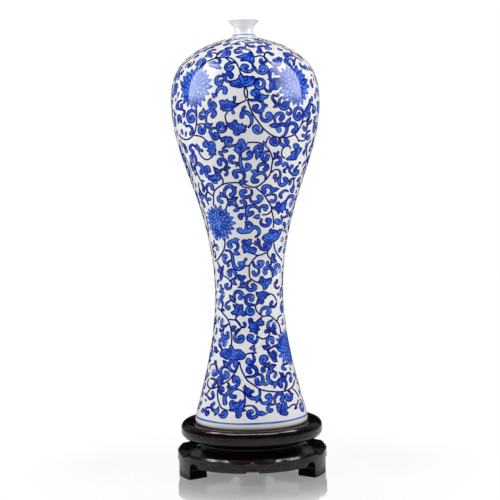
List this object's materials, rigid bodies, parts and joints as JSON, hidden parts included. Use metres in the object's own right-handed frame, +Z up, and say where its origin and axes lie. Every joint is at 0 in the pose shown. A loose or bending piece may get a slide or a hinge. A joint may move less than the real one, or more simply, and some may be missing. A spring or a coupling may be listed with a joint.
{
  "type": "meiping vase on stand",
  "caption": "Tall narrow-necked porcelain vase with a broad shoulder and flared foot, standing loose in the sunk seat of a round lacquered wooden stand on feet.",
  "frame": {"origin": "on the floor, under the middle of the stand", "axes": "+Z up along the axis of the vase, -Y towards the front of the stand, between its two front feet"},
  "size_m": [0.15, 0.15, 0.4494],
  "materials": {
    "glazed_porcelain": "clear glossy glaze over cobalt blue painting",
    "lacquered_wood": "gloss lacquer",
    "dowel_wood": "bare"
  },
  "bodies": {
    "stand": {"seat_disc": "lacquered_wood", "waist_block": "lacquered_wood", "base_plate": "lacquered_wood", "foot_left": "lacquered_wood", "foot_right": "lacquered_wood", "foot_rear": "lacquered_wood", "disc_dowels": "dowel_wood", "plate_dowels": "dowel_wood", "foot_dowels": "dowel_wood"},
    "vase": {"vase": "glazed_porcelain"}
  },
  "joints": [
    {"name": "vase_lift", "type": "slide", "parent": "stand", "child": "vase", "axis": [0, 0, 1], "range_m": [0, 0.1]}
  ]
}
